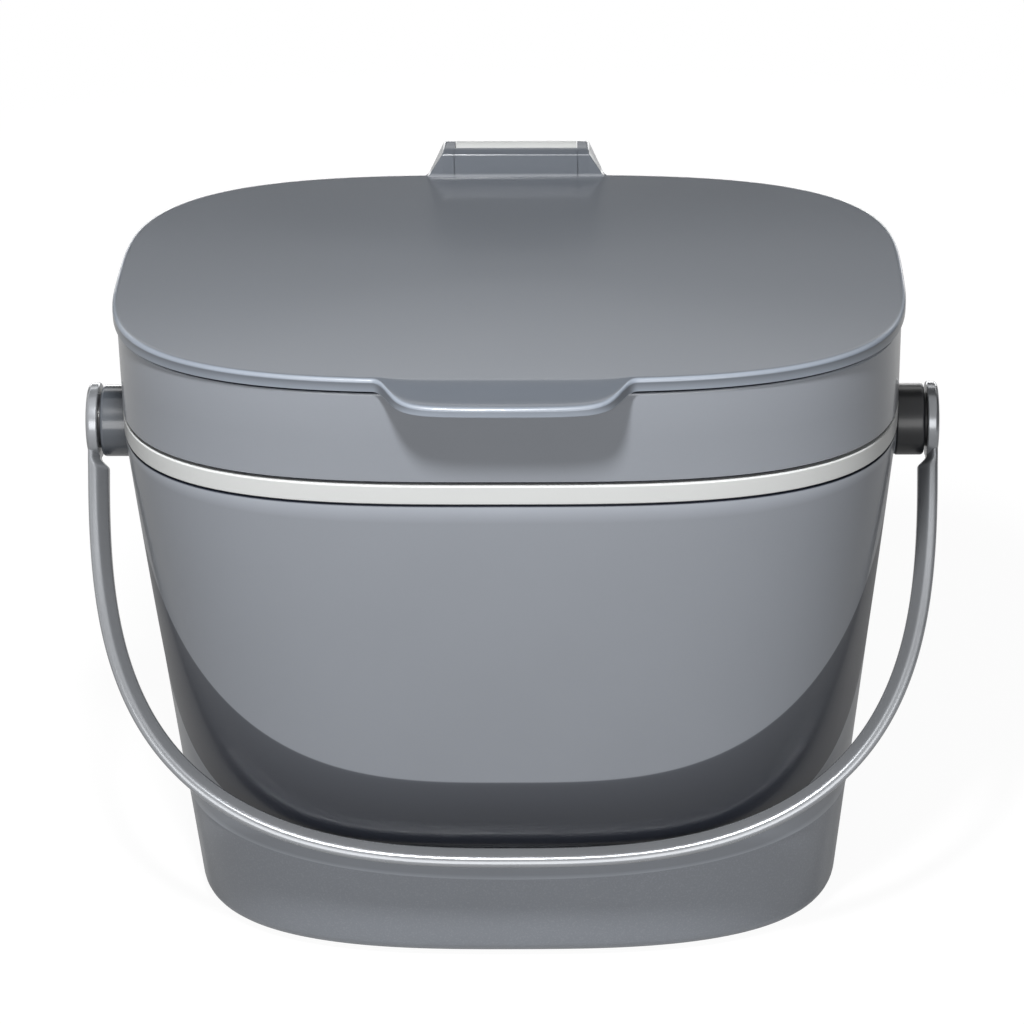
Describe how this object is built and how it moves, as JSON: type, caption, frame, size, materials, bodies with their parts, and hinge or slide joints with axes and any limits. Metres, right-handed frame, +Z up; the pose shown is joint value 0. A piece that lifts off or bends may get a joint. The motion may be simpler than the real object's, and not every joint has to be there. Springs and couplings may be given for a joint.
{
  "type": "compost caddy with hinged lid",
  "caption": "Countertop compost caddy with a tapered shell, a lift-out inner bucket, a lift-off collar, a hinged lid with a finger lip and a swinging bail handle.",
  "frame": {"origin": "centre of the bounding box's bottom face, on the surface that the feet stand on", "axes": "+X to the right seen from the front, +Y to the hinge at the back, +Z up"},
  "size_m": [0.2928, 0.1938, 0.2445],
  "materials": {
    "charcoal_plastic": "semi-gloss moulded",
    "pale_plastic": "satin",
    "silver_grey_plastic": "metallic grey, semi-gloss",
    "steel": "bright zinc",
    "rubber": "matte",
    "nylon": "satin"
  },
  "bodies": {
    "bin": {"outer_shell": "charcoal_plastic", "left_hub": "charcoal_plastic", "right_hub": "charcoal_plastic", "pivot_screws": "steel", "pivot_nuts": "steel", "pivot_washers": "nylon", "rubber_feet": "rubber"},
    "bucket": {"inner_bucket": "pale_plastic"},
    "lid_frame": {"collar": "charcoal_plastic", "collar_seal": "rubber", "hinge_bracket": "pale_plastic", "hinge_pin": "steel", "bracket_screws": "steel"},
    "lid": {"lid_cover": "charcoal_plastic", "lid_liner": "pale_plastic", "liner_screws": "steel", "lid_seal": "rubber"},
    "handle": {"bail": "silver_grey_plastic", "left_cap": "charcoal_plastic", "right_cap": "charcoal_plastic"}
  },
  "joints": [
    {"name": "bucket_lift", "type": "slide", "parent": "bin", "child": "bucket", "axis": [0, 0, 1], "range_m": [0, 0.2]},
    {"name": "collar_lift", "type": "slide", "parent": "bucket", "child": "lid_frame", "axis": [0, 0, 1], "range_m": [0, 0.06]},
    {"name": "lid_hinge", "type": "hinge", "parent": "lid_frame", "child": "lid", "pos_m": [0, 0.09195, 0.2395], "axis": [-1, 0, 0], "range_deg": [0, 105]},
    {"name": "bail_swing", "type": "hinge", "parent": "bin", "child": "handle", "pos_m": [0, 0.00605, 0.1764], "axis": [-1, 0, 0], "range_deg": [0, 298]}
  ]
}
